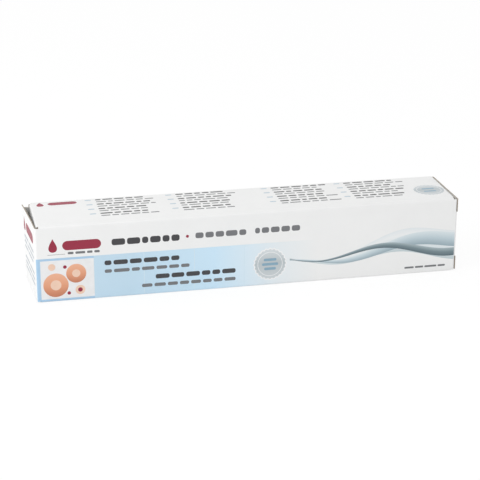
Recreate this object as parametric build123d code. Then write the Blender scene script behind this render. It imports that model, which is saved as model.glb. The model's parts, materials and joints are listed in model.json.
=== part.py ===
from build123d import *
import math
import os

# Empty folding carton for one pen-sized hand device, in millimetres.
# X runs along the carton, the front panel faces -Y, and the bottom panel lies on Z = 0.
# The sleeve is one creased and glued sheet. Each end is closed by a panel hinged on one
# upright crease, with a tuck flap that slides in behind the opposite panel.

# Carton size, outside, with both closures pushed home
carton_length = 170.0
carton_depth = 31.0
carton_height = 31.0

# Board and its creases (the crease radius is that of the middle of the board)
board = 0.45
crease_radius = 0.6

# Glued seam, inside the bottom panel along its back edge
glue_flap_width = 11.0
glue_end_setback = 2.0
glue_end_taper = 5.0
seam_setback = 0.15

# Dust flaps, folded in from the top and bottom panels at both ends
dust_flap_length = 11.0
dust_hinge_inset = 0.95
dust_hinge_taper = 1.5
dust_shoulder = 4.5
dust_tuck_taper = 3.5
dust_corner_radius = 2.5

# Closures and their tuck flaps
closure_inset = 0.4
corner_notch = 0.9
tuck_flap_length = 11.0
tuck_inset = 1.1
tuck_corner_radius = 7.0
slit_length = 5.5

# Clearances
crease_gap = 0.05
dust_gap = 0.25
dust_side_gap = 0.4
tuck_gap = 0.35
tuck_edge_setback = 0.5
slit_gap = 0.5

# How far each closure stands out of its closed place, in degrees
left_lean = 3.2
right_lean = 0.8

# Places that follow from the sizes above
half_board = board / 2
half_length = carton_length / 2
half_depth = carton_depth / 2
dust_plane = half_length - board - dust_gap - half_board
panel_end = dust_plane - crease_radius
hinge_end = half_length - board - crease_gap
tuck_end = half_length - tuck_edge_setback
top_middle = carton_height - half_board
back_middle = half_depth - half_board
seam_middle = board + half_board
hinge_x = half_length - half_board
hinge_y = half_depth - half_board

# The fold of a tuck flap and its tip lie on one circle about the hinge, so the rigid
# closure swings out past the panel that it tucks behind.
swing_radius = carton_depth - board - half_board - tuck_gap
half_tuck = tuck_flap_length / 2
tuck_near = math.sqrt(swing_radius**2 - half_tuck**2) - half_board
fold_reach = math.hypot(tuck_near, half_tuck)
tuck_droop = math.degrees(math.asin(half_tuck / fold_reach))
slit_reach = math.sqrt(swing_radius**2 - half_board**2)
dust_tuck_edge = -hinge_y + tuck_near - half_board - dust_side_gap


def upright(profile, low, high):
    """Extrude a plan profile between two heights."""
    return extrude(Pos(0, 0, low) * profile, amount=high - low)


def wrapped_panels():
    """Back, top, front and bottom panels: one strip of board carried round three creases."""
    path = FilletPolyline(
        (back_middle, seam_middle + crease_radius),
        (back_middle, top_middle),
        (-back_middle, top_middle),
        (-back_middle, half_board),
        (half_depth - seam_setback, half_board),
        radius=crease_radius,
    )
    section = trace(path, line_width=board)
    return extrude(Plane.YZ * section, amount=panel_end, both=True)


def glue_flap():
    """Flap creased in from the back panel, with slanted ends, that lies on the bottom panel."""
    free_edge = back_middle - glue_flap_width
    path = FilletPolyline(
        (back_middle, seam_middle + crease_radius + board),
        (back_middle, seam_middle),
        (free_edge, seam_middle),
        radius=crease_radius,
    )
    root = panel_end - glue_end_setback
    tip = root - glue_end_taper
    outline = Polygon(
        (-root, half_depth),
        (-tip, free_edge),
        (tip, free_edge),
        (root, half_depth),
        align=None,
    )
    strip = extrude(Plane.YZ * trace(path, line_width=board), amount=root, both=True)
    return strip & upright(outline, 0, carton_height)


def end_panel():
    """Front panel out to the left hinge crease and to the cut edge over the right tuck flap."""
    width = hinge_end + tuck_end
    height = carton_height - 2 * corner_notch
    outline = Pos((tuck_end - hinge_end) / 2, carton_height / 2) * Rectangle(width, height)
    return extrude(Plane((0, half_board - half_depth, 0), (1, 0, 0), (0, -1, 0)) * outline,
                   amount=half_board, both=True)


def dust_flap():
    """Dust flap creased down from the left end of the top panel, cut to a shouldered outline."""
    path = FilletPolyline(
        (crease_radius + board - dust_plane, top_middle),
        (-dust_plane, top_middle),
        (-dust_plane, carton_height - dust_flap_length),
        radius=crease_radius,
    )
    strip = extrude(Plane.XZ * trace(path, line_width=board), amount=half_depth, both=True)
    tip = carton_height - dust_flap_length
    outline = Polygon(
        (dust_hinge_inset - half_depth, carton_height),
        (dust_hinge_inset + dust_hinge_taper - half_depth, tip),
        (dust_tuck_edge - dust_tuck_taper, tip),
        (dust_tuck_edge, carton_height - dust_shoulder),
        (dust_tuck_edge, carton_height),
        align=None,
    )
    outline = fillet(outline.vertices().group_by(Axis.Y)[0], radius=dust_corner_radius)
    return strip & extrude(Plane.YZ * outline, amount=carton_length, both=True)


def carton_sleeve():
    """The four panels with the glue flap and the four dust flaps, folded from one sheet."""
    middle = Plane.XY.offset(carton_height / 2)
    top_flap = dust_flap()
    bottom_flap = mirror(top_flap, about=middle)
    left_end = end_panel() + top_flap + bottom_flap
    return wrapped_panels() + glue_flap() + left_end + Rot(0, 0, 180) * left_end


def tuck_flap():
    """Flat tuck flap with rounded free corners, set off from the closure along its slits."""
    start = (half_board + slit_gap) / math.cos(math.radians(tuck_droop))
    width = carton_height - 2 * (closure_inset + tuck_inset)
    outline = Pos((start + tuck_flap_length) / 2, 0) * Rectangle(tuck_flap_length - start, width)
    outline = fillet(outline.vertices().group_by(Axis.X)[-1], radius=tuck_corner_radius)
    droop = math.radians(tuck_droop)
    plane = Plane(
        (0, fold_reach, carton_height / 2),
        x_dir=(math.cos(droop), -math.sin(droop), 0),
        z_dir=(math.sin(droop), math.cos(droop), 0),
    )
    return extrude(plane * outline, amount=half_board, both=True)


def closure():
    """Closure panel and tuck flap, closed, with the hinge crease standing on the Z axis."""
    droop = math.radians(tuck_droop)
    fold = (0, fold_reach)
    flap_middle = (half_tuck * math.cos(droop), fold_reach - half_tuck * math.sin(droop))
    bent = trace(FilletPolyline((0, 0), fold, flap_middle, radius=crease_radius), line_width=board)
    flat = trace(Line((0, 0), (0, slit_reach)), line_width=board)
    hinge_bead = Circle(half_board)
    low = closure_inset
    high = carton_height - closure_inset
    cut_ends = upright(flat, low, low + slit_length) + upright(flat, high - slit_length, high)
    folded = upright(bent, low + slit_length, high - slit_length)
    return cut_ends + folded + upright(hinge_bead, low, high) + tuck_flap()


def left_end_flap():
    """Closure hinged on the front panel's left edge, tucked in behind the back panel."""
    return Pos(-hinge_x, -hinge_y, 0) * Rot(0, 0, left_lean) * closure()


def right_end_flap():
    """Closure hinged on the back panel's right edge, tucked in behind the front panel."""
    return Pos(hinge_x, hinge_y, 0) * Rot(0, 0, 180 + right_lean) * closure()


os.makedirs("parts", exist_ok=True)
for make_piece in (carton_sleeve, left_end_flap, right_end_flap):
    export_step(make_piece(), f"parts/{make_piece.__name__}.step")
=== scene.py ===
# %% [markdown]
# This lesson dresses a small folding carton: a long, square sleeve of white coated board that is
# closed at each end by a hinged panel with a tuck flap. The plain solids come from CAD as a fixed
# frame. Everything made here is in metres in that frame, and the frame's box is kept to the end,
# because the dressed carton has to be the size of the solids.

# %% The frame
import json
import math

import bpy
import numpy as np
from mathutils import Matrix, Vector


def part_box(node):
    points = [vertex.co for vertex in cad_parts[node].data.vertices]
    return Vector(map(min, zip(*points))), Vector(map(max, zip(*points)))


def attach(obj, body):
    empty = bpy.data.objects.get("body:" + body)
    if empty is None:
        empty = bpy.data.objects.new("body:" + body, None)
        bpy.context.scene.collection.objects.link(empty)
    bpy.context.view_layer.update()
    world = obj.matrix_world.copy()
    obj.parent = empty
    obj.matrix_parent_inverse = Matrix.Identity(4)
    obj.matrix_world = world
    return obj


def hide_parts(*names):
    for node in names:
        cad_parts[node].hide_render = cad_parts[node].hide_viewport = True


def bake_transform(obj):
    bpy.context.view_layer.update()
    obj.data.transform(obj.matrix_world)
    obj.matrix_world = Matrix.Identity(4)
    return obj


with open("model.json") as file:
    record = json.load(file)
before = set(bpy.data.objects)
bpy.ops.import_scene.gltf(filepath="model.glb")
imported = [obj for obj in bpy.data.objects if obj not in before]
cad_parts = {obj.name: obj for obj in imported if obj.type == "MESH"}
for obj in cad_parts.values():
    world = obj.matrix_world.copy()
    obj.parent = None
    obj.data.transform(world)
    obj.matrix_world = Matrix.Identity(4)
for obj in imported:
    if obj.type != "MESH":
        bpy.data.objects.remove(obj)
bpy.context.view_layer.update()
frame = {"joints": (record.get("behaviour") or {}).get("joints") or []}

MM = 0.001

# %% [markdown]
# A carton's size is that of its panels and its board. They could be typed in again, but then they
# could drift from the solids, so they are read from the frame. The sleeve's box gives the depth,
# the height and the cut edge of the front panel. A hinge line lies in the middle of the board, so
# the hinge points give the board's thickness and the length over both closures.

# %% Sizes of the carton
cut_end, half_depth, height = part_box("carton_sleeve")[1]
hinge = {joint["child"]: np.array(joint["pos_m"]) for joint in frame["joints"]}
hinge_x, hinge_y = -hinge["left_closure"][:2]
board = 2 * (half_depth - hinge_y)
half_board = board / 2
half_length = hinge_x + half_board
print(f"board {board / MM:.3f} mm, length over the closures {2 * half_length / MM:.2f} mm")

# %% [markdown]
# Board could be drawn as flat polygons and thickened with Solidify. Here a sheet is made of grids
# of points, because then a fold is a formula, and grids that share the points of an edge become
# one creased sheet. The quads of every grid are numbered in the same way.

# %% Quads on a grid of points
def grid_faces(rows, columns, loop=False):
    """Point numbers of a grid's quads: (i, j), (i+1, j), (i+1, j+1), (i, j+1). In a loop the last
    column is joined to the first."""
    number = np.arange(rows * columns).reshape(rows, columns)
    if loop:
        number = np.concatenate([number, number[:, :1]], axis=1)
    corners = (number[:-1, :-1], number[1:, :-1], number[1:, 1:], number[:-1, 1:])
    return np.stack(corners, -1).reshape(-1, 4)


def facing(points, faces, outward):
    """The same faces, all turned round if the first one's normal, the cross product of two of its
    sides, points away from the outward direction."""
    a, b, c = points[faces[0, :3]]
    return faces if np.cross(b - a, c - b) @ outward > 0 else faces[:, ::-1]


print("quads in a grid of 4 by 3 points:", len(grid_faces(4, 3)))

# %% [markdown]
# A crease is where two grids meet. Blender can merge doubles, but doing it in numpy keeps the
# numbering known. The normals of the joined sheet say which way is off the board at each point.

# %% Grids joined into one sheet
rounding_off = 0.001 * MM


def joined(grids):
    """One sheet from (grid of points, outward direction) pairs. Points that agree to a micrometre
    become one point."""
    points, faces, count = [], [], 0
    for grid, outward in grids:
        flat = grid.reshape(-1, 3)
        faces.append(facing(flat, grid_faces(*grid.shape[:2]), outward) + count)
        points.append(flat)
        count += len(flat)
    points, faces = np.concatenate(points), np.concatenate(faces)
    micrometres = np.round(points / rounding_off)
    _, first, place = np.unique(micrometres, axis=0, return_index=True, return_inverse=True)
    return points[first], place.reshape(-1)[faces]


def sheet_normals(points, faces):
    """Unit normal at each point: the sum of the normals of the quads round it, made one long. A
    quad's normal is the cross product of its diagonals."""
    corner = points[faces]
    normal = np.cross(corner[:, 2] - corner[:, 0], corner[:, 3] - corner[:, 1])
    total = np.zeros_like(points)
    np.add.at(total, faces, normal[:, None])
    return total / np.linalg.norm(total, axis=1)[:, None]


up = np.array([0.0, 0.0, 1.0])
tile = np.array([[[0, 0, 0], [0, 1, 0]], [[1, 0, 0], [1, 1, 0]]], float)
pair = joined([(tile, up), (tile + [1, 0, 0], up)])
print("points in two quads that share an edge:", len(pair[0]))

# %% [markdown]
# The thickness of board is two layers of points, one outside and one inside, with a quad across
# them wherever a face has no neighbour. Solidify does nearly the same. Made here, the two layers
# and the cut edge get materials of their own, and the rim stays sharp while folds shade smoothly.

# %% A closed slab from two layers
def in_scene(name, data):
    """A new object with a mesh, a light or a camera as its data, linked to the scene."""
    thing = bpy.data.objects.new(name, data)
    bpy.context.scene.collection.objects.link(thing)
    return thing


def rim_edges(faces):
    """The directed edges that belong to one face only."""
    edges = np.stack([faces, np.roll(faces, -1, axis=1)], -1).reshape(-1, 2)
    _, place, count = np.unique(np.sort(edges, axis=1), axis=0, return_inverse=True, return_counts=True)
    return edges[count[place.reshape(-1)] == 1]


def mark_sharp(mesh, pairs):
    """Marks edges, given as pairs of point numbers, as sharp. Each pair is known by one number: its
    lower point times the count of points, plus its higher point."""
    count = len(mesh.vertices)
    ends = np.empty(len(mesh.edges) * 2, np.int32)
    mesh.edges.foreach_get("vertices", ends)
    key = np.sort(ends.reshape(-1, 2), axis=1) @ [count, 1]
    mesh.edges.foreach_set("use_edge_sharp", np.isin(key, np.sort(pairs, axis=1) @ [count, 1]))


def closed_slab(name, outer, inner, faces, materials):
    """A closed mesh: the faces on the outer points, the same faces turned round on the inner points,
    and a quad across each rim edge. The materials go to these three in turn, or one covers all."""
    count = len(outer)
    rim = rim_edges(faces)
    across = np.stack([rim[:, 1], rim[:, 0], rim[:, 0] + count, rim[:, 1] + count], -1)
    polygons = faces.tolist() + (faces[:, ::-1] + count).tolist() + across.tolist()
    mesh = bpy.data.meshes.new(name)
    mesh.from_pydata(np.concatenate([outer, inner]).tolist(), [], polygons)
    for material in materials:
        mesh.materials.append(material)
    layer = np.repeat(np.arange(3, dtype=np.int32), [len(faces), len(faces), len(across)])
    mesh.polygons.foreach_set("material_index", np.minimum(layer, len(materials) - 1))
    mesh.polygons.foreach_set("use_smooth", np.ones(len(polygons), bool))
    mark_sharp(mesh, np.concatenate([rim, rim + count]))
    mesh.update()
    return in_scene(name, mesh)


print("rim edges of those two quads:", len(rim_edges(pair[1])))

# %% [markdown]
# Every fold in board has the same shape: a straight run, a small arc, a straight run. A bevelled
# curve could give it. A function of the distance along the path is used instead, because the sheet
# and the print on it can then both ask for a point at the same distance.

# %% A path with rounded corners
arc_steps = 8


def rounded_path(corners, radii):
    """Distances, points and headings of a polyline with rounded corners. Each arc starts at radius
    times the tangent of half the turn before its corner, and turns evenly in a few steps."""
    corners = np.asarray(corners, float)
    runs = np.diff(corners, axis=0)
    runs /= np.linalg.norm(runs, axis=1)[:, None]
    heading = np.arctan2(runs[:, 1], runs[:, 0])
    turn = (np.diff(heading) + np.pi) % (2 * np.pi) - np.pi
    radii = np.broadcast_to(radii, turn.shape)
    start = corners[1:-1] - (radii * np.tan(np.abs(turn) / 2))[:, None] * runs[:-1]
    angle = heading[:-1, None] + turn[:, None] * np.linspace(0, 1, arc_steps + 1)
    sweep = [np.sin(angle) - np.sin(angle[:, :1]), np.cos(angle[:, :1]) - np.cos(angle)]
    arcs = start[:, None] + (radii * np.sign(turn))[:, None, None] * np.stack(sweep, -1)
    points = np.concatenate([corners[:1], arcs.reshape(-1, 2), corners[-1:]])
    headings = np.unwrap(np.concatenate([heading[:1], angle.ravel(), heading[-1:]]))
    steps = np.linalg.norm(np.diff(points, axis=0), axis=1)
    return np.concatenate([[0], np.cumsum(steps)]), points, headings


def along(path, distance):
    """Points and left-hand normals at distances along a path, read between its knots."""
    knots, points, headings = path
    place = np.stack([np.interp(distance, knots, points[:, i]) for i in (0, 1)], -1)
    angle = np.interp(distance, knots, headings)
    return place, np.stack([-np.sin(angle), np.cos(angle)], -1)


def arc_knots(path):
    """The distances at the knots of a path's arcs, one row for each arc."""
    return path[0][1:-1].reshape(-1, arc_steps + 1)


elbow = rounded_path([(0, 0), (1, 0), (1, 1)], 0.2)
print("length of a unit elbow with a corner of 0.2:", round(elbow[0][-1], 3))

# %% [markdown]
# The sleeve is one strip of board. Its section starts at the cut edge of the bottom panel, runs
# under to the front, up, over the top and down the back, and turns in as the glue flap. It is the
# path that the whole sleeve follows, through the middle of the board.

# %% The sleeve's section
crease = 0.6 * MM
seam_setback = 0.15 * MM
glue_width = 11.0 * MM
middle_y = half_depth - half_board
middle_top = height - half_board
seam_middle = board + half_board
section = rounded_path([
    (half_depth - seam_setback, half_board),
    (-middle_y, half_board),
    (-middle_y, middle_top),
    (middle_y, middle_top),
    (middle_y, seam_middle),
    (middle_y - glue_width, seam_middle),
], crease)
section_arcs = arc_knots(section)
arc_start, arc_end = section_arcs[:, 0], section_arcs[:, -1]
print("width of the sleeve's sheet in mm:", round(section[0][-1] / MM, 2))

# %% [markdown]
# Places on the carton are easier to say as a depth or a height than as a distance along the
# section. On each panel the distance only counts up or down with the place, so a start and a sign
# for each panel turn one into the other.

# %% Distances of the four panels
flat_low = half_board + crease
flat_side = crease - middle_y
panel_counts = {
    "bottom": (half_depth - seam_setback, -1),
    "front": (arc_end[0] - flat_low, 1),
    "top": (arc_end[1] - flat_side, 1),
    "back": (arc_end[2] + middle_top - crease, -1),
}


def sheet_distance(panel, place):
    """Distance along the section at a panel's depth or height: its start plus or minus the place."""
    start, sign = panel_counts[panel]
    return start + sign * np.asarray(place, float)


half_way = sheet_distance("front", height / 2)
print("half way up the front panel, in mm along the sheet:", round(half_way / MM, 2))

# %% [markdown]
# Board in a closed carton is under slight tension and bows outwards, which gives its faces a soft
# change of tone. Lattice or sculpting would bend it too. A formula keeps the creases straight and
# can be used again for the print, so that ink follows the board.

# %% A point on the sleeve
dust_gap = 0.25 * MM
dust_plane = half_length - board - dust_gap - half_board
panel_end = dust_plane - crease
bows = [
    (arc_end[0], arc_start[1], 0.20 * MM),
    (arc_end[1], arc_start[2], 0.15 * MM),
    (arc_end[2], arc_start[3], 0.20 * MM),
]


def on_sleeve(x, s, lift):
    """Point at length x and distance s along the section, lifted off the board's middle along its
    normal. The bow of a panel is its amount times 1 - across^2 times 1 - lengthwise^4."""
    x, s = np.broadcast_arrays(np.asarray(x, float), np.asarray(s, float))
    place, normal = along(section, s)
    swell = np.zeros(s.shape)
    for first, last, amount in bows:
        across = (2 * s - first - last) / (last - first)
        swell += amount * np.clip(1 - across**2, 0, 1)
    off = swell * np.clip(1 - (x / panel_end) ** 4, 0, 1) + lift
    return np.concatenate([x[..., None], place + normal * off[..., None]], -1)


front_middle = on_sleeve(0.0, half_way, half_board)
print("front panel's middle in mm:", np.round(front_middle / MM, 2).tolist())

# %% [markdown]
# The flaps of the sleeve's sheet are rooted on its panels, and the glue flap starts at the seam. The
# grid takes its lines from those places and fills in evenly between them, so that flaps and panels
# share points. Lines that fall within a micrometre of each other count as one.

# %% Lines of the sleeve's grid
tuck_length = 11.0 * MM
tuck_gap = 0.35 * MM
swing = 2 * half_depth - board - half_board - tuck_gap
tuck_near = math.sqrt(swing**2 - tuck_length**2 / 4) - half_board
dust_side_gap = 0.4 * MM
dust_inset = 0.95 * MM
dust_root = (dust_inset - half_depth, tuck_near - hinge_y - half_board - dust_side_gap)
glue_setback = 2.0 * MM
glue_root = panel_end - glue_setback
panel_step = 1.2 * MM
length_step = 4.2 * MM
seam_line = seam_middle + crease


def distinct(*rows):
    """The values of all rows in order, without any that only rounding off sets apart."""
    values = np.sort(np.concatenate(rows))
    return values[np.diff(values, prepend=-np.inf) > rounding_off]


def spaced(low, high, step, also=()):
    """Even values from low to high, about a step apart, with some exact values added."""
    return distinct(np.linspace(low, high, max(2, round((high - low) / step) + 1)), also)


def within(values, low, high):
    """The values from low to high, both ends included."""
    return values[(values >= low - rounding_off) & (values <= high + rounding_off)]


def last_stretch(path, step):
    """Distances from the start of a path's last arc to the path's end: the arc's own knots, then even
    steps. With them, the share of the way at each."""
    arc = arc_knots(path)[-1]
    rows = np.concatenate([arc, spaced(arc[-1], path[0][-1], step)[1:]])
    return rows, (rows - rows[0]) / (rows[-1] - rows[0])


flap_roots = [dust_root[0], dust_root[1], -dust_root[1], -dust_root[0]]
depth_lines = spaced(flat_side, -flat_side, panel_step, flap_roots)
height_lines = spaced(flat_low, middle_top - crease, panel_step, [seam_line])
length_lines = spaced(-panel_end, panel_end, length_step, [-glue_root, glue_root])
panel_places = {"bottom": depth_lines, "front": height_lines, "top": depth_lines,
                "back": within(height_lines, seam_line, height)}
panel_lines = [sheet_distance(panel, places) for panel, places in panel_places.items()]
wrap_lines = distinct([0.0], *panel_lines, *section_arcs[:3])
print("grid lines:", len(length_lines), "long,", len(depth_lines), "deep,", len(height_lines), "high")

# %% [markdown]
# Dust flaps fold in under the closures. Each is a tapered tongue with a shoulder on the side of the
# tuck flap and rounded free corners. Its outline could be cut out with a boolean. Two side lines
# that run in with distance give the same outline on a clean grid.

# %% A dust flap
dust_length = 11.0 * MM
dust_shoulder = 4.5 * MM
dust_taper = (1.5 * MM, 3.5 * MM)
dust_round = 2.5 * MM
fine_step = 0.5 * MM


def corner_round(distance, end, radius):
    """How far a quarter round draws a side in at a distance along a flap: radius minus the root of
    radius^2 minus past^2, where past counts from the round's start and stops just short of it."""
    past = np.clip(distance - end + radius, 0, 0.999 * radius)
    return radius - np.sqrt(radius**2 - past**2)


def dust_flap():
    """Left flap of the top panel. Its path leaves the panel and turns down by an arc. Between its
    sides the points are spread as they are at the root."""
    path = rounded_path([(crease - panel_end, middle_top), (-dust_plane, middle_top),
                         (-dust_plane, height - dust_length)], crease)
    rows, share = last_stretch(path, fine_step)
    distance = share * dust_length
    drawn_in = corner_round(distance, dust_length, dust_round)
    past_shoulder = np.clip((distance - dust_shoulder) / (dust_length - dust_shoulder), 0, 1)
    hinge_side = dust_root[0] + dust_taper[0] * share + drawn_in
    tuck_side = dust_root[1] - dust_taper[1] * past_shoulder - drawn_in
    across = (within(depth_lines, *dust_root) - dust_root[0]) / (dust_root[1] - dust_root[0])
    y = hinge_side[:, None] + (tuck_side - hinge_side)[:, None] * across
    x, z = (np.broadcast_to(side[:, None], y.shape) for side in along(path, rows)[0].T)
    return np.stack([x, y, z], -1)


upper_flap = dust_flap()
print("dust flap's grid:", upper_flap.shape[:2])

# %% [markdown]
# Two smaller parts belong to the sleeve's sheet. The front panel runs on past the dust flaps to a
# cut edge, under which the tuck flap slides in. The glue flap lies inside the bottom panel and has
# slanted ends, so that it never shows.

# %% The cut end and the glue flap
glue_taper = 5.0 * MM
glue_step = 2.0 * MM
notch_steps = 3
corner_notch = flat_low - crease * math.sin(math.pi / 2 * notch_steps / arc_steps)


def cut_strip(steps):
    """The front panel's last stretch at the right, from the panel's end to the cut edge. It takes in
    some steps of both creases, up to the notches at the corners."""
    strip_lines = within(wrap_lines, section_arcs[0, -1 - steps], section_arcs[1, steps])
    return on_sleeve(spaced(panel_end, cut_end, fine_step)[:, None], strip_lines, 0)


def glue_flap():
    """The section's last stretch. Its length shrinks evenly by the taper towards the free edge."""
    rows, share = last_stretch(section, glue_step)
    x = within(length_lines, -glue_root, glue_root) * (1 - share[:, None] * glue_taper / glue_root)
    return on_sleeve(x, rows[:, None], 0)


print("cut strip's grid:", cut_strip(notch_steps).shape[:2], "glue flap's grid:", glue_flap().shape[:2])

# %% [markdown]
# This kind of carton closes on opposite panels, so it looks the same after half a turn about its
# upright axis. The other dust flaps and the second cut end are therefore turned or mirrored copies
# of the arrays. Mirroring turns faces round, and the outward directions put that right. The cut end
# at the back stops where the creases start.

# %% The sleeve's sheet
half_turn = np.array([-1.0, -1.0, 1.0])
upside_down = np.array([1.0, 1.0, -1.0])
towards_front = np.array([0.0, -1.0, 0.0])
lower_flap = upper_flap * upside_down + height * up
sleeve_grids = [
    (on_sleeve(length_lines[:, None], wrap_lines, 0), -up),
    (glue_flap(), -towards_front),
    (upper_flap, up),
    (lower_flap, -up),
    (upper_flap * half_turn, up),
    (lower_flap * half_turn, -up),
    (cut_strip(notch_steps), towards_front),
    (cut_strip(0) * half_turn, -towards_front),
]
print("points in the wrapped sheet:", sleeve_grids[0][0].shape[:2])

# %% [markdown]
# A closure is a panel that rolls round its hinge crease, crosses the end of the carton and folds
# into the tuck flap. The left one is not pushed home: it leans out, and its top corner more than
# its bottom corner. The lean is the hinge's own resting angle in the frame, and a twist that grows
# with height gives the rest.

# %% The closures' lean and twist
leans = {joint["child"].split("_")[0]: -math.radians(joint["range_deg"][0]) for joint in frame["joints"]}
twists = {"left": math.radians(1.3), "right": 0.0}
fold_reach = math.hypot(tuck_near, tuck_length / 2)
left_hinge = np.array([-hinge_x, -hinge_y, 0.0])


def twisted(points, side):
    """Turns points about the left hinge line by the twist times the share of the panel's reach times
    the share of its height."""
    arm = points - left_hinge
    reach = np.clip(np.hypot(arm[..., 0], arm[..., 1]) / fold_reach, 0, 1)
    angle = twists[side] * reach * points[..., 2] / height
    cosine, sine = np.cos(angle), np.sin(angle)
    x = arm[..., 0] * cosine - arm[..., 1] * sine
    y = arm[..., 0] * sine + arm[..., 1] * cosine
    return np.stack([x, y, points[..., 2]], -1) + left_hinge


print("lean in degrees:", {side: round(math.degrees(lean), 2) for side, lean in leans.items()})

# %% [markdown]
# Seen from above, a closure is one path: a strip on the front panel, the roll of the hinge, the
# panel across the end, and the tuck flap, which droops a little towards the inside so that it
# finds its way in. Both closures are drawn at the left end.

# %% A closure's path
hinge_crease = 0.5 * MM
droop = math.asin(tuck_length / 2 / fold_reach)


def bearing(angle):
    """The unit vector in plan at an angle from +X."""
    return np.array([math.cos(angle), math.sin(angle)])


def closure_path(side):
    """Path with two rounded corners: from the front panel's end to the hinge, out along the lean to
    the fold, and in along the lean turned by a right angle and the droop."""
    fold = left_hinge[:2] + fold_reach * bearing(math.pi / 2 + leans[side])
    inward = bearing(leans[side] - droop)
    corners = [(-panel_end, -hinge_y), left_hinge[:2], fold, fold + tuck_length * inward]
    return rounded_path(corners, [hinge_crease, crease])


left_path = closure_path("left")
print("length of the left closure's path in mm:", round(left_path[0][-1] / MM, 2))

# %% [markdown]
# At both ends of the tuck crease the board is slit, so the fold is shorter than the flap, and a
# stub of the panel stands beyond it and locks behind the dust flap. The closure is therefore five
# grids: panel, fold, tuck flap and two stubs. They meet only along the fold, which leaves the slits.

# %% The closures' grids
closure_inset = 0.4 * MM
closure_half = height / 2 - closure_inset
tuck_inset = 1.1 * MM
tuck_half = closure_half - tuck_inset
slit_length = 5.5 * MM
fold_half = closure_half - slit_length
tuck_round = 7.0 * MM
slit_reach = math.sqrt(swing**2 - half_board**2)


def upright(plan, heights):
    """Grid over points of a plan and heights, one row of heights for all points or one for each."""
    heights = np.broadcast_to(heights, (len(plan), np.shape(heights)[-1]))
    plan = np.broadcast_to(plan[:, None], (*heights.shape, 2))
    return np.concatenate([plan, heights[..., None]], -1)


def mirrored_lines(half):
    """Heights from -half to half that share their middle stretch, the fold, with every other set."""
    inner = spaced(-fold_half, fold_half, panel_step)
    outer = spaced(fold_half, half, panel_step)[1:]
    return np.concatenate([-outer[::-1], inner, outer])


def low_edge(distance, path):
    """Height of a closure's lower edge at a distance along its path: over the hinge roll it goes
    evenly from the front panel's notch to the closure's own inset."""
    return np.interp(distance, arc_knots(path)[0, [0, -1]], [corner_notch, closure_inset])


def closure_grids(side):
    """The five grids at the left end. The panel widens over the hinge roll from the notched front
    panel to its full height, and quarter rounds draw in the tuck flap's free corners."""
    path = closure_path(side)
    roll, bend = arc_knots(path)
    end = path[0][-1]
    panel_rows = np.concatenate([[0], roll, spaced(roll[-1], bend[0], panel_step)[1:]])
    tuck_rows = spaced(bend[-1], end, fine_step)
    widths = (height / 2 - low_edge(panel_rows, path)) / closure_half
    tuck_widths = 1 - corner_round(tuck_rows, end, tuck_round) / tuck_half
    lock_edge = left_hinge[:2] + slit_reach * bearing(math.pi / 2 + leans[side])
    stub_plan = np.linspace(along(path, bend[0])[0], lock_edge, 3)
    stub = spaced(fold_half, closure_half, panel_step)
    grids = [
        upright(along(path, panel_rows)[0], height / 2 + widths[:, None] * mirrored_lines(closure_half)),
        upright(along(path, bend)[0], height / 2 + spaced(-fold_half, fold_half, panel_step)),
        upright(along(path, tuck_rows)[0], height / 2 + tuck_widths[:, None] * mirrored_lines(tuck_half)),
        upright(stub_plan, height / 2 - stub[::-1]),
        upright(stub_plan, height / 2 + stub),
    ]
    return [twisted(grid, side) for grid in grids]


print("grids in a closure:", [grid.shape[:2] for grid in closure_grids("left")])

# %% [markdown]
# Materials are node trees. Each here is noise on Object coordinates, which are metres, so that a
# pattern keeps its real scale and stays put when a flap swings. An image could hold the same look
# but would have a fixed resolution. A node is added with its values and links in one go, and the
# helpers for noise and colour ramps give back a socket.

# %% Nodes for paper and ink
def node_material(name):
    """A new material, its node tree and its Principled shader."""
    material = bpy.data.materials.new(name)
    material.use_nodes = True
    return material, material.node_tree, material.node_tree.nodes["Principled BSDF"]


def feed(node, inputs):
    """Gives the named inputs of a node their values. A value that is a socket becomes a link."""
    for name, value in inputs.items():
        if isinstance(value, bpy.types.NodeSocket):
            node.id_data.links.new(value, node.inputs[name])
        else:
            node.inputs[name].default_value = value
    return node


def add_node(tree, kind, inputs):
    """A new node of a kind, with its inputs fed."""
    return feed(tree.nodes.new(f"ShaderNode{kind}"), inputs)


def noise(tree, scale, detail=3.0, roughness=0.5, stretch=(1, 1, 1)):
    """Noise on Object coordinates with a scale in turns per metre; a low stretch draws it out."""
    place = add_node(tree, "TexCoord", {}).outputs["Object"]
    drawn = add_node(tree, "Mapping", {"Vector": place, "Scale": stretch}).outputs["Vector"]
    inputs = {"Vector": drawn, "Scale": scale, "Detail": detail, "Roughness": roughness}
    return add_node(tree, "TexNoise", inputs).outputs["Fac"]


def ramp(tree, value, stops):
    """A colour ramp over a value; the stops are (place, colour) pairs."""
    node = add_node(tree, "ValToRGB", {"Fac": value})
    while len(node.color_ramp.elements) < len(stops):
        node.color_ramp.elements.new(1.0)
    for element, (place, colour) in zip(node.color_ramp.elements, stops):
        element.position = place
        element.color = (*colour, 1.0)
    return node.outputs["Color"]


print("a new material starts with", len(node_material("sample")[1].nodes), "nodes")
bpy.data.materials.remove(bpy.data.materials["sample"])

# %% [markdown]
# A surface of paper is never quite even: its gloss varies, and fibres under the coating lift it by
# a few thousandths of a millimetre. Roughness takes the first from a noise, and Bump the second.

# %% Gloss and fibres
coat_fibre = 2600
coat_depth = 0.012 * MM
gloss_spread = 0.05
noise_low, noise_high = 0.3, 0.7


def uneven_gloss(tree, shader, scale, middle):
    """Roughness that wanders a little about its middle, over the range where noise mostly lies."""
    level = add_node(tree, "MapRange", {
        "Value": noise(tree, scale), "From Min": noise_low, "From Max": noise_high,
        "To Min": middle - gloss_spread, "To Max": middle + gloss_spread})
    feed(shader, {"Roughness": level.outputs["Result"]})


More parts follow.
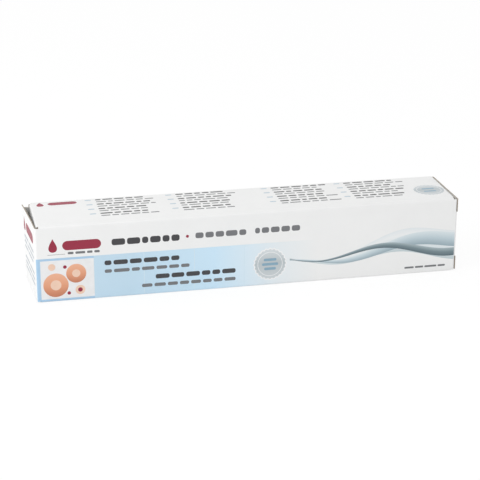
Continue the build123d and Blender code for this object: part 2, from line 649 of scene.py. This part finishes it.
def fibres(tree, shader, value, depth, strength=0.4):
    """A bump whose height in metres is the depth times a value."""
    bump = add_node(tree, "Bump", {"Height": value, "Distance": depth, "Strength": strength})
    feed(shader, {"Normal": bump.outputs["Normal"]})


print(f"coating fibres: {1000 / coat_fibre:.2f} mm apart, {coat_depth / MM} mm high")

# %% [markdown]
# The board's three surfaces. The outside is clay-coated: nearly white and satin, with a faint
# mottle. A cut edge shows the brown core. The back is uncoated and light grey, with long fibres and
# dark flecks of recycled paper, which are places where a fine noise is low.

# %% Board materials
raw_depth = 0.03 * MM


def shaded(colour, factor):
    """A colour made darker or lighter by a factor."""
    return tuple(min(1.0, channel * factor) for channel in colour)


def mottled(name, colour, spread, scale, gloss, fibre=coat_fibre, depth=coat_depth):
    """A surface of one colour, mottled by plus and minus the spread, with uneven gloss and fibres."""
    material, tree, shader = node_material(name)
    stops = [(noise_low, shaded(colour, 1 - spread)), (noise_high, shaded(colour, 1 + spread))]
    feed(shader, {"Base Color": ramp(tree, noise(tree, scale, 4.0), stops)})
    uneven_gloss(tree, shader, scale * 3, gloss)
    fibres(tree, shader, noise(tree, fibre), depth)
    return material


def grey_back():
    """Light grey fibres times a layer of flecks, which are dark where their noise is low."""
    material, tree, shader = node_material("grey_board_back")
    fibre = noise(tree, 900, 5.0, 0.65, (0.35, 1, 1))
    fleck = noise(tree, 2200, 2.0, 0.5, (0.4, 1, 1))
    tones = ramp(tree, fibre, [(noise_low, (0.62, 0.61, 0.585)), (noise_high, (0.73, 0.72, 0.695))])
    flecks = ramp(tree, fleck, [(0.27, (0.6, 0.57, 0.53)), (0.33, (1, 1, 1))])
    mix = add_node(tree, "MixRGB", {"Fac": 1.0, "Color1": tones, "Color2": flecks})
    mix.blend_type = "MULTIPLY"
    feed(shader, {"Base Color": mix.outputs["Color"], "Roughness": 0.88})
    fibres(tree, shader, fibre, raw_depth, 0.5)
    return material


white_board = (0.812, 0.815, 0.812)
board_faces = [
    mottled("coated_white_face", white_board, 0.012, 90, 0.42),
    grey_back(),
    mottled("brown_cut_edge", (0.36, 0.312, 0.255), 0.25, 1500, 0.9, 5000, raw_depth),
]
print("board materials:", [material.name for material in board_faces])

# %% [markdown]
# Now the sleeve itself: half of the thickness to each side of the sheet. It rides on the carton's
# body and takes the place of the CAD sleeve, which stays in the file but is not shown.

# %% The sleeve
def board_piece(name, grids, node):
    """A sheet of board: the joined grids, moved half of the thickness to each side along the normals."""
    points, faces = joined(grids)
    offset = sheet_normals(points, faces) * half_board
    piece = closed_slab(name, points + offset, points - offset, faces, board_faces)
    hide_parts(node)
    print(f"{name}: {len(piece.data.polygons)} faces")
    return piece


sleeve = board_piece("sleeve_board", sleeve_grids, "carton_sleeve")
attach(sleeve, "carton")

# %% [markdown]
# A closure is one with its panel at the hinge crease. If it only rode on its own body, a gap would
# open at the crease as it swings. Here each closure's placement is only baked into its mesh.

# %% The closures
turns = {"left": np.ones(3), "right": half_turn}


def follow_hinge(piece):
    """Bakes a piece's placement into its mesh. No blend over the hinge is made."""
    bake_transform(piece)


for side, turn in turns.items():
    panel_out = np.append(bearing(math.pi + leans[side]), 0.0)
    outward = [towards_front, panel_out, -towards_front, panel_out, panel_out]
    grids = [(grid * turn, out * turn) for grid, out in zip(closure_grids(side), outward)]
    closure = board_piece(f"{side}_closure_board", grids, f"{side}_end_flap")
    follow_hinge(closure)

# %% [markdown]
# Print is a film of ink, far thinner than the board. It could be painted into the board's material,
# but a shape with a crisp edge is easier to draw as geometry. So each colour is a very thin closed
# slab. It is drawn flat in millimetres and laid on a panel by that panel's own function, bow and
# twist included.

# %% Panels to print on
def sleeve_panel(panel):
    """A function for the outside of one of the sleeve's panels, by length and height or depth. Past
    the panel's creases it follows the sheet."""
    return lambda x, place, lift: on_sleeve(x, sheet_distance(panel, place), half_board + lift)


def on_left(u, z, lift):
    """The left closure's outside by distance from its far edge and height: out along the lean from
    the hinge, off the board's middle at a right angle, then twisted."""
    out, off = bearing(math.pi / 2 + leans["left"]), bearing(math.pi + leans["left"])
    plan = left_hinge[:2] + (slit_reach - u)[:, None] * out + (half_board + lift) * off
    return twisted(np.column_stack([plan, z]), "left")


def round_left_hinge(s, z, lift):
    """The left hinge roll's outside by distance along the closure's path and height."""
    place, normal = along(left_path, s)
    plan = place + normal * (half_board + lift)
    return twisted(np.column_stack([plan, z]), "left")


panels = {
    "front": (sleeve_panel("front"), towards_front, "carton", "sleeve_board"),
    "top": (sleeve_panel("top"), up, "carton", "sleeve_board"),
    "left": (on_left, np.array([-1.0, 0.0, 0.0]), "left_closure", "closure_board"),
    "left_hinge": (round_left_hinge, towards_front, None, "closure_board"),
}
print("panels with print:", list(panels))

# %% [markdown]
# A film's outside lies some steps of ink above the board, so that a later colour covers an earlier
# one, and its inside lies just below the board's surface, so that no gap shows. Small shapes are
# single polygons. Larger ones are grids, because they have to follow the bow of the panel.

# %% Laying films of ink
film_step = 0.012 * MM
film_root = 0.03 * MM


def film(name, panel, flat, faces, level, material, uv):
    """A closed slab of ink from flat points in millimetres, with a UV map that both layers share."""
    surface, outward, body, slot = panels[panel]
    across, along_up = flat.T * MM
    outer = surface(across, along_up, level * film_step)
    inner = surface(across, along_up, -film_root)
    piece = closed_slab(name, outer, inner, facing(outer, faces, outward), [material])
    corner = np.empty(len(piece.data.loops), np.int32)
    piece.data.loops.foreach_get("vertex_index", corner)
    uv_map = piece.data.uv_layers.new(name="print")
    uv_map.data.foreach_set("uv", uv[corner % len(uv)].astype(np.float32).ravel())
    if body is None:
        follow_hinge(piece)
    else:
        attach(piece, body)
    print(f"{name}: {len(piece.data.polygons)} faces on the {panel}")


def shape_film(name, panel, outlines, level, material):
    """A film from outlines, an array of shapes by points by two. UV counts 0 to 1 over each shape."""
    shapes, count = outlines.shape[:2]
    low = outlines.min(axis=1, keepdims=True)
    uv = (outlines - low) / (outlines.max(axis=1, keepdims=True) - low)
    faces = np.arange(shapes * count).reshape(shapes, count)
    film(name, panel, outlines.reshape(-1, 2), faces, level, material, uv.reshape(-1, 2))


def grid_film(name, panel, grids, level, material, loop=False):
    """A film from one grid of flat points or a stack of them. UV counts 0 to 1 along rows and columns."""
    rows, columns = grids.shape[-3:-1]
    stack = grids.reshape(-1, rows * columns, 2)
    faces = grid_faces(rows, columns, loop) + np.arange(len(stack))[:, None, None] * rows * columns
    uv = np.stack(np.meshgrid(np.linspace(0, 1, rows), np.linspace(0, 1, columns), indexing="ij"), -1)
    uv = np.tile(uv.reshape(-1, 2), (len(stack), 1))
    film(name, panel, stack.reshape(-1, 2), faces.reshape(-1, 4), level, material, uv)


print("thickness of one ink step in micrometres:", round(film_step / MM * 1000))

# %% [markdown]
# The small shapes of the print: bars with rounded corners, dots and drops. Each is one outline,
# worked out for many shapes at once. A row of dashes has seeded random lengths, so that it looks
# uneven and yet comes out the same on every run.

# %% Small printed shapes
def bars(boxes, radius):
    """Outlines of boxes (x0, y0, x1, y1) with rounded corners: five points of a quarter circle about
    a centre that lies the radius in from both sides."""
    boxes = np.asarray(boxes, float).reshape(-1, 4)
    centre, half = (boxes[:, :2] + boxes[:, 2:]) / 2, (boxes[:, 2:] - boxes[:, :2]) / 2
    rounding = np.minimum(radius, 0.98 * half.min(axis=1))[:, None]
    angle = np.radians(np.linspace(0, 90, 5) + 90 * np.arange(4)[:, None]).ravel()
    sign = np.repeat([[1, 1], [-1, 1], [-1, -1], [1, -1]], 5, axis=0)
    arc = np.stack([np.cos(angle), np.sin(angle)], -1)
    return centre[:, None] + sign * (half - rounding)[:, None] + arc * rounding[:, None]


def drops(places, points=40):
    """Outlines of drops (x, y, height). At the angle a round the drop its height is -cos a, and its
    width is sin a times the power 1.5 of cos of half of a, which draws the upper half to a point."""
    places = np.asarray(places, float).reshape(-1, 3)
    angle = np.linspace(0, 2 * np.pi, points, endpoint=False) + np.pi / points
    width = 0.42 * np.sin(angle) * np.abs(np.cos(angle / 2)) ** 1.5
    return places[:, None, :2] + places[:, None, 2:] * np.stack([width, -np.cos(angle) / 2], -1)


dash_lengths = np.random.default_rng(12)


def dash_row(x0, x1, base, tall, mean, gap):
    """Boxes of one row of dashes between two ends, with lengths from 0.6 to 1.4 of a mean."""
    count = max(1, round((x1 - x0) / (mean + gap)))
    share = dash_lengths.uniform(0.6, 1.4, count)
    length = share / share.sum() * (x1 - x0 - gap * (count - 1))
    start = x0 + np.concatenate([[0], np.cumsum(length + gap)[:-1]])
    return np.stack([start, np.full(count, base), start + length, np.full(count, base + tall)], -1)


print("points round a bar and a drop:", bars([0, 0, 2, 1], 0.3).shape[1], drops([0, 0, 1]).shape[1])

# %% [markdown]
# The large shapes are grids. A disc could be a fan of triangles, but that meets in a pole. Here a
# square grid is bent round until its sides lie on the circle. A long bar is a row of slices with a
# round end, a ring is two circles, and a field is a plain grid.

# %% Large printed shapes
def field_grid(x, y):
    """Grid over given lengths and heights."""
    return np.stack(np.meshgrid(x, y, indexing="ij"), -1)


def slices(x, y):
    """Grid of slices: a row of points for each x, at heights y of its own."""
    return np.stack([np.broadcast_to(x[:, None], y.shape), y], -1)


def round_grids(circles, cells=14, scallop=0.0):
    """Square grids bent to discs (x, y, radius): (u, v) goes to u times the root of 1 - v^2 / 2, and
    v times the root of 1 - u^2 / 2. A scallop adds its share of cos 24a at the rim."""
    circles = np.asarray(circles, float).reshape(-1, 1, 1, 3)
    u, v = np.meshgrid(np.linspace(-1, 1, cells + 1), np.linspace(-1, 1, cells + 1), indexing="ij")
    disc = np.stack([u * np.sqrt(1 - v**2 / 2), v * np.sqrt(1 - u**2 / 2)], -1)
    wave = np.cos(24 * np.arctan2(disc[..., 1], disc[..., 0])) * (disc**2).sum(-1) ** 2
    return circles[..., :2] + circles[..., 2:] * disc * (1 + scallop * wave)[..., None]


def pill_grid(x0, y0, x1, y1, rows=29):
    """A long bar with round ends: slices along its length, closer at the ends, whose half height is
    drawn in there by a quarter round."""
    half_long, half_tall = (x1 - x0) / 2, (y1 - y0) / 2
    off_middle = -half_long * np.cos(np.linspace(0, np.pi, rows))
    half = half_tall - corner_round(np.abs(off_middle), half_long, half_tall)
    y = (y0 + y1) / 2 + half[:, None] * np.linspace(-1, 1, 5)
    return slices((x0 + x1) / 2 + off_middle, y)


def ring_grid(x, y, inner, outer, points=48):
    """Two circles, point by point."""
    angle = np.linspace(0, 2 * np.pi, points, endpoint=False)
    radius = np.array([[inner], [outer]])
    return np.stack([x + radius * np.cos(angle), y + radius * np.sin(angle)], -1)


print("points in a disc:", round_grids([0, 0, 1])[0].shape[:2], "a pill:", pill_grid(0, 0, 9, 2).shape[:2])

# %% [markdown]
# Inks lie on the coating and share its satin skin. A plain ink is one colour with the faint mottle
# of a printing plate. A graded ink runs through a ramp along one direction of the film's UV map, as
# a tint screen does. Reading the UV map keeps the grading on the film when a flap swings.

# %% Inks
def ink(name, colour):
    """A plain ink with a mottle of 3%."""
    return mottled(name, colour, 0.03, 400, 0.4)


def graded_ink(name, direction, stops):
    """An ink whose colour follows the film's UV map along X or Y."""
    material, tree, shader = node_material(name)
    place = add_node(tree, "UVMap", {})
    place.uv_map = "print"
    split = add_node(tree, "SeparateXYZ", {"Vector": place.outputs["UV"]})
    feed(shader, {"Base Color": ramp(tree, split.outputs[direction], stops)})
    uneven_gloss(tree, shader, 270, 0.41)
    fibres(tree, shader, noise(tree, coat_fibre), coat_depth)
    return material


dark_ink = ink("dark_ink", (0.045, 0.045, 0.05))
grey_ink = ink("grey_ink", (0.16, 0.165, 0.175))
slate_ink = ink("slate_blue_ink", (0.22, 0.36, 0.46))
red_ink = ink("crimson_ink", (0.29, 0.012, 0.042))
white_ink = ink("white_ink", (0.83, 0.835, 0.84))
frame_ink = ink("frame_blue_ink", (0.37, 0.56, 0.745))
print("inks:", [material.name for material in bpy.data.materials if material.name.endswith("ink")])

# %% [markdown]
# The lower part of the front panel is a pale blue field that fades out to the right. It is a grid
# that rolls under the bottom crease, and the fade is a graded ink along its length. Thin lighter
# lines divide it.

# %% The blue field
field_left = -panel_end / MM
field_right = 27.0
field_low, field_top = 0.35, 18.0
blue = (0.50, 0.665, 0.785)
fade = [(0.0, shaded(blue, 1.02)), (0.3, blue), (0.62, shaded(blue, 1.12)),
        (0.86, (0.74, 0.79, 0.815)), (1.0, white_board)]
roll_heights = np.linspace(field_low, flat_low / MM, 5)
field_heights = np.concatenate([roll_heights, np.linspace(flat_low / MM, field_top, 13)[1:]])
blue_field = field_grid(np.linspace(field_left, field_right, 45), field_heights)
grid_film("blue_field", "front", blue_field, 1, graded_ink("blue_fade_ink", "X", fade))
divider_half = 0.14
dividers = np.stack([field_grid(x + np.array([-divider_half, divider_half]), np.linspace(1.0, 17.7, 15))
                     for x in (-43.0, -23.0, -3.0)])
grid_film("field_dividers", "front", dividers, 2, ink("divider_ink", (0.60, 0.735, 0.815)))

# %% [markdown]
# At the left of the blue field a darker blue edge runs round three sides of a pale picture field.
# It goes on round the hinge crease, as print does that bleeds off a panel. That last part lies on
# the first knots of the hinge roll, so it is a film of its own.

# %% The edge of the picture field
picture_left, picture_right = field_left + 0.1, -62.6
picture_low, picture_top = 1.25, 17.1
edge_rows, edge_points = 7, 43
wrap_knots = 7


def three_sides(left, low, high):
    """Corners of a line from the picture's right end along its top, down its left and back below."""
    return [(picture_right, high), (left, high), (left, low), (picture_right, low)]


edge_corners = np.linspace(three_sides(field_left, field_low, field_top),
                           three_sides(picture_left, picture_low, picture_top), edge_rows)
edge_share = np.linspace(0, 3, edge_points)
edge_lines = [[np.interp(edge_share, np.arange(4), line[:, i]) for line in edge_corners] for i in (0, 1)]
grid_film("picture_frame", "front", np.stack(edge_lines, -1), 2, frame_ink)

wrap_rows = left_path[0][:wrap_knots]
wrap_heights = np.linspace(low_edge(wrap_rows, left_path), field_top * MM, 15, axis=1)
grid_film("picture_frame_wrap", "left_hinge", slices(wrap_rows, wrap_heights) / MM, 2, frame_ink)

# %% [markdown]
# The picture field holds a plain pattern of discs in warm tones. The larger ones are graded from
# top to bottom, which makes them look a little domed.

# %% Discs of the picture field
tan_tones = [(0.0, (0.50, 0.18, 0.095)), (0.45, (0.70, 0.31, 0.175)), (1.0, (0.79, 0.42, 0.27))]
large_discs = [[-77.6, 6.9, 4.9], [-69.6, 11.3, 3.9]]
pale_centres = [[-77.6, 6.9, 2.1], [-69.6, 11.3, 1.6], [-68.2, 4.4, 1.9], [-79.0, 14.4, 1.4]]
red_centres = [[-68.2, 4.4, 0.9], [-73.9, 14.2, 0.7], [-72.6, 3.3, 0.7]]
picture_heights = np.linspace(picture_low, picture_top, 13)
picture = field_grid(np.linspace(picture_left, picture_right, 15), picture_heights)
grid_film("picture_field", "front", picture, 3, ink("pale_grey_ink", (0.77, 0.775, 0.78)))
grid_film("tan_discs", "front", round_grids(large_discs), 4, graded_ink("tan_ink", "Y", tan_tones))
grid_film("pale_discs", "front", round_grids(pale_centres), 5, ink("pale_tan_ink", (0.80, 0.56, 0.43)))
grid_film("red_discs", "front", round_grids(red_centres), 6, red_ink)

# %% [markdown]
# A grey seal with a scalloped rim stands at the end of the blue field, and again on the top panel.
# One function lays the seal and, a step of ink above it, its thin white line and its bars.

# %% Grey seals
seal_tones = [(0.0, (0.56, 0.60, 0.62)), (0.55, (0.45, 0.50, 0.52)), (1.0, (0.62, 0.66, 0.68))]
seal_ink = graded_ink("seal_ink", "Y", seal_tones)
seal_radius = 6.2
seal_line = (4.9, 5.1)
seal_margin = 0.5
seal_cells = 36
scallop = 0.03


def seal(panel, x, y, level, boxes):
    """A scalloped disc, a ring inside its rim, and bars given from its centre."""
    disc = round_grids([x, y, seal_radius], seal_cells, scallop)
    grid_film(f"{panel}_seal", panel, disc, level, seal_ink)
    grid_film(f"{panel}_seal_line", panel, ring_grid(x, y, *seal_line), level + 1, white_ink, loop=True)
    shape_film(f"{panel}_seal_bars", panel, bars(np.array(boxes) + [x, y, x, y], 0.5), level + 1, slate_ink)


front_seal = (7.5, 9.0)
seal_edge = round_grids([*front_seal, seal_radius + seal_margin], seal_cells, scallop)
grid_film("front_seal_edge", "front", seal_edge, 2, white_ink)
seal("front", *front_seal, 3, [[-2.6, 1.3, 2.6, 2.4], [-3.3, -0.6, 3.3, 0.5], [-2.4, -2.5, 2.4, -1.4]])
seal("top", 77.0, -2.6, 1, [[-2.6, 1.0, 2.6, 2.2], [-2.6, -2.2, 2.6, -1.0]])

# %% [markdown]
# The crimson mark is a drop and a bar. It stands at the left of the front panel, on the top panel
# and on the left closure, each time in its own size.

# %% Crimson marks
def mark(panel, drop_place, bar_box):
    """A drop (x, y, height) and a bar with round ends (x0, y0, x1, y1)."""
    grid_film(f"{panel}_mark", panel, pill_grid(*bar_box), 1, red_ink)
    shape_film(f"{panel}_mark_drop", panel, drops(drop_place), 1, red_ink)


mark("front", [-78.3, 23.2, 5.6], (-74.6, 21.0, -59.6, 24.8))
mark("top", [-80.3, 11.6, 4.8], (-77.2, 9.8, -65.6, 13.2))
mark("left", [4.8, 24.4, 5.8], (8.2, 22.2, 25.0, 26.2))

# %% [markdown]
# Rows of dashes give the front panel its fine dark detail: a headline in two weights with a red dot
# between them, two pairs of rows on the blue field, and thin rows beside the mark and at the right.

# %% Dashes of the front panel
def dash_film(name, panel, rows, radius, level, material):
    """Rows of dashes as one film."""
    shape_film(name, panel, bars(np.concatenate(rows), radius), level, material)


headline_ends = [(-22.5, -2.2, 22.1), (1.4, 19.6, 22.3)]
bold_places = [(-58.5, -29.0, 13.7), (-38.5, -6.5, 6.5)]
light_places = [(-58.5, -25.0, 10.5), (-44.0, -6.5, 3.3)]
shape_film("front_small_dashes", "front", np.concatenate([
    bars([[-80.4, 19.4, -73.6, 19.55]], 0.05),
    bars(dash_row(-72.6, -60.2, 19.3, 0.95, 2.6, 0.7), 0.4),
    bars(dash_row(63.5, 80.7, 2.4, 0.8, 3.6, 0.5), 0.35),
]), 1, grey_ink)
headline = [dash_row(-55.5, -28.8, 21.7, 2.6, 3.4, 0.75)]
dash_film("headline_dashes", "front", headline, 0.9, 1, dark_ink)
shape_film("headline_dot", "front", bars([-26.3, 22.6, -25.1, 23.8], 0.6), 1, red_ink)
headline_end = [dash_row(*place, 2.3, 3.0, 0.75) for place in headline_ends]
dash_film("headline_end_dashes", "front", headline_end, 0.8, 1, grey_ink)
front_bold = [dash_row(*place, 1.9, 4.2, 0.8) for place in bold_places]
dash_film("front_bold_dashes", "front", front_bold, 0.75, 3, dark_ink)
front_light = [dash_row(*place, 1.4, 4.0, 0.8) for place in light_places]
dash_film("front_light_dashes", "front", front_light, 0.6, 3, grey_ink)

# %% [markdown]
# Three waves sweep from the seal to the right end. A wave is a centre line, a slope plus a sine, and
# a half width that grows along it. Its graded ink runs across it from a shaded edge to a light one.

# %% Waves at the right end
wave_start = 15.5
wave_end = 84.3


def wave(name, rise, swell, phase, half_widths, level, tones):
    """Grid of one wave: the centre goes evenly from the first height to the second, plus the swell
    times a sine of one and a quarter turns, and the half width eases from the first to the second."""
    share = np.linspace(0, 1, 61)
    middle = rise[0] + (rise[1] - rise[0]) * share + swell * np.sin(2.5 * np.pi * share + phase)
    half = half_widths[0] + (half_widths[1] - half_widths[0]) * share**2 * (3 - 2 * share)
    z = middle[:, None] + half[:, None] * np.linspace(-1, 1, 9)
    x = wave_start + (wave_end - wave_start) * share
    grid_film(name, "front", slices(x, z), level, graded_ink(f"{name}_ink", "Y", tones))


light_tones = [(0.0, (0.50, 0.58, 0.61)), (0.35, (0.66, 0.72, 0.745)),
               (0.75, (0.79, 0.81, 0.815)), (1.0, (0.72, 0.76, 0.78))]
blue_tones = [(0.0, (0.28, 0.37, 0.42)), (0.5, (0.46, 0.56, 0.61)), (1.0, (0.66, 0.73, 0.76))]
slate_tones = [(0.0, (0.085, 0.13, 0.155)), (0.5, (0.16, 0.225, 0.25)), (1.0, (0.36, 0.44, 0.47))]
wave("light_wave", (9.5, 13.5), 2.6, 2.6, (0.25, 6.2), 1, light_tones)
wave("blue_wave", (8.0, 14.5), 2.2, 2.0, (0.2, 3.0), 2, blue_tones)
wave("slate_wave", (11.0, 10.8), 2.4, 3.4, (0.15, 1.7), 3, slate_tones)

# %% [markdown]
# The top panel has four columns of short dashed rows between its mark and its seal: a bold row and a
# light row each time, with a pale tag before each pair. The left closure has two groups of light
# rows under its mark.

# %% Dashes of the top panel and the left closure
indent, light_drop = 4.2, 2.5
tag_long, tag_tall = 2.6, 1.1
bold_rows, light_rows, tags = [], [], []
for column in (-62.3, -29.6, 10.0, 40.8):
    for row in (12.4, 6.7, 1.0, -4.7):
        bold_end = column + dash_lengths.uniform(22, 28)
        bold_rows.append(dash_row(column + indent, bold_end, row, 1.25, 3.2, 0.7))
        light_end = column + dash_lengths.uniform(23, 29)
        light_rows.append(dash_row(column + indent, light_end, row - light_drop, 0.95, 3.2, 0.7))
        tags.append([column, row, column + tag_long, row + tag_tall])
dash_film("top_bold_dashes", "top", bold_rows, 0.5, 1, dark_ink)
dash_film("top_light_dashes", "top", light_rows, 0.4, 1, grey_ink)
shape_film("top_tags", "top", bars(tags, 0.5), 1, ink("tag_ink", (0.45, 0.55, 0.62)))

end_rows = [dash_row(3.0, dash_lengths.uniform(20, 27), row, 1.0, 8.0, 1.0)
            for row in (18.6, 16.4, 14.2, 9.8, 7.6, 5.4)]
dash_film("left_dashes", "left", end_rows, 0.45, 1, ink("end_dash_ink", (0.42, 0.46, 0.50)))

# %% [markdown]
# The camera stands where the photograph was taken from. Its place, direction and lens were fitted
# to the carton's corners. A long lens from farther off would make the far end too large.

# %% Camera
eye = Vector((-129.4, -598.2, 236.6)) * MM
sight = Vector((0.1967, 0.919, -0.3416))
camera_data = bpy.data.cameras.new("camera")
camera_data.lens = 120.8
camera_data.sensor_width = 36
camera = in_scene("camera", camera_data)
camera.location = eye
camera.rotation_euler = sight.to_track_quat("-Z", "Y").to_euler()
bpy.context.scene.camera = camera
print("camera's distance from the carton's middle in mm:", round(eye.length / MM))

# %% [markdown]
# White board on white needs soft light from nearly everywhere and a little more from one side, or
# its faces run together. A white world gives the first. It looks plain white to the camera and in
# reflections, and lights a little less. The second could come from a sun, evenly. A soft box near the
# left end is used, because the board in the photograph grows a little darker towards the right.

# %% Light
def seen_rays(tree):
    """A socket that is 1 for camera, glossy and transmission rays and 0 for the light on surfaces."""
    rays = add_node(tree, "LightPath", {}).outputs
    seen = rays["Is Camera Ray"]
    for name in ("Is Glossy Ray", "Is Transmission Ray"):
        either = add_node(tree, "Math", {0: seen, 1: rays[name]})
        either.operation = "MAXIMUM"
        seen = either.outputs[0]
    return seen


def ray_level(tree, unseen, seen):
    """A socket with one level for the light on surfaces and another for the rays that are seen."""
    level = add_node(tree, "MapRange", {"Value": seen_rays(tree), "To Min": unseen, "To Max": seen})
    return level.outputs["Result"]


sky_level = 0.875
world = bpy.data.worlds.new("white_studio")
world.use_nodes = True
sky_strength = ray_level(world.node_tree, sky_level, 1.0)
feed(world.node_tree.nodes["Background"], {"Color": (1, 1, 1, 1), "Strength": sky_strength})
bpy.context.scene.world = world

box_level = 0.415
box_side = 0.5
box_place = Vector((-0.5, -0.2, 0.38))
box_throw = Vector((-half_length, 0, height / 2)) - box_place
soft_box_data = bpy.data.lights.new("soft_box", "AREA")
soft_box_data.shape = "SQUARE"
soft_box_data.size = box_side
soft_box_data.energy = box_level * (math.pi * box_throw.length) ** 2
soft_box = in_scene("soft_box", soft_box_data)
soft_box.location = box_place
soft_box.rotation_euler = box_throw.to_track_quat("-Z", "Y").to_euler()
print("at the left end, a face square to the soft box gains about", box_level, "of its colour")

# %% [markdown]
# The floor is matt white and catches a soft shadow. For the rays that are seen, most of it is plain
# white light, so that the shadow stays but is as faint as on a bright studio table. The plain white
# is a little over full, because the floor far from the soft box is a little under. The floor lies a
# hair below the carton, because two faces in one plane would flicker.

# %% Floor
floor_half = 3.0
floor_drop = -0.05 * MM
shown_white = 0.85
white_level = 1.01
floor_corners = [(x * floor_half, y * floor_half, floor_drop)
                 for x, y in ((-1, -1), (1, -1), (1, 1), (-1, 1))]
floor_mesh = bpy.data.meshes.new("studio_floor")
floor_mesh.from_pydata(floor_corners, [], [(0, 1, 2, 3)])
floor_material, floor_tree, floor_shader = node_material("white_floor")
feed(floor_shader, {"Base Color": (0.97, 0.97, 0.97, 1), "Roughness": 0.9})
plain_white = add_node(floor_tree, "Emission", {"Strength": white_level})
floor_mix = add_node(floor_tree, "MixShader", {
    "Fac": ray_level(floor_tree, 0.0, shown_white),
    1: floor_shader.outputs["BSDF"],
    2: plain_white.outputs["Emission"]})
feed(floor_tree.nodes["Material Output"], {"Surface": floor_mix.outputs["Shader"]})
floor_mesh.materials.append(floor_material)
floor = in_scene("studio_floor", floor_mesh)
bpy.context.scene.view_settings.view_transform = "Standard"
print("floor's side in metres:", 2 * floor_half)
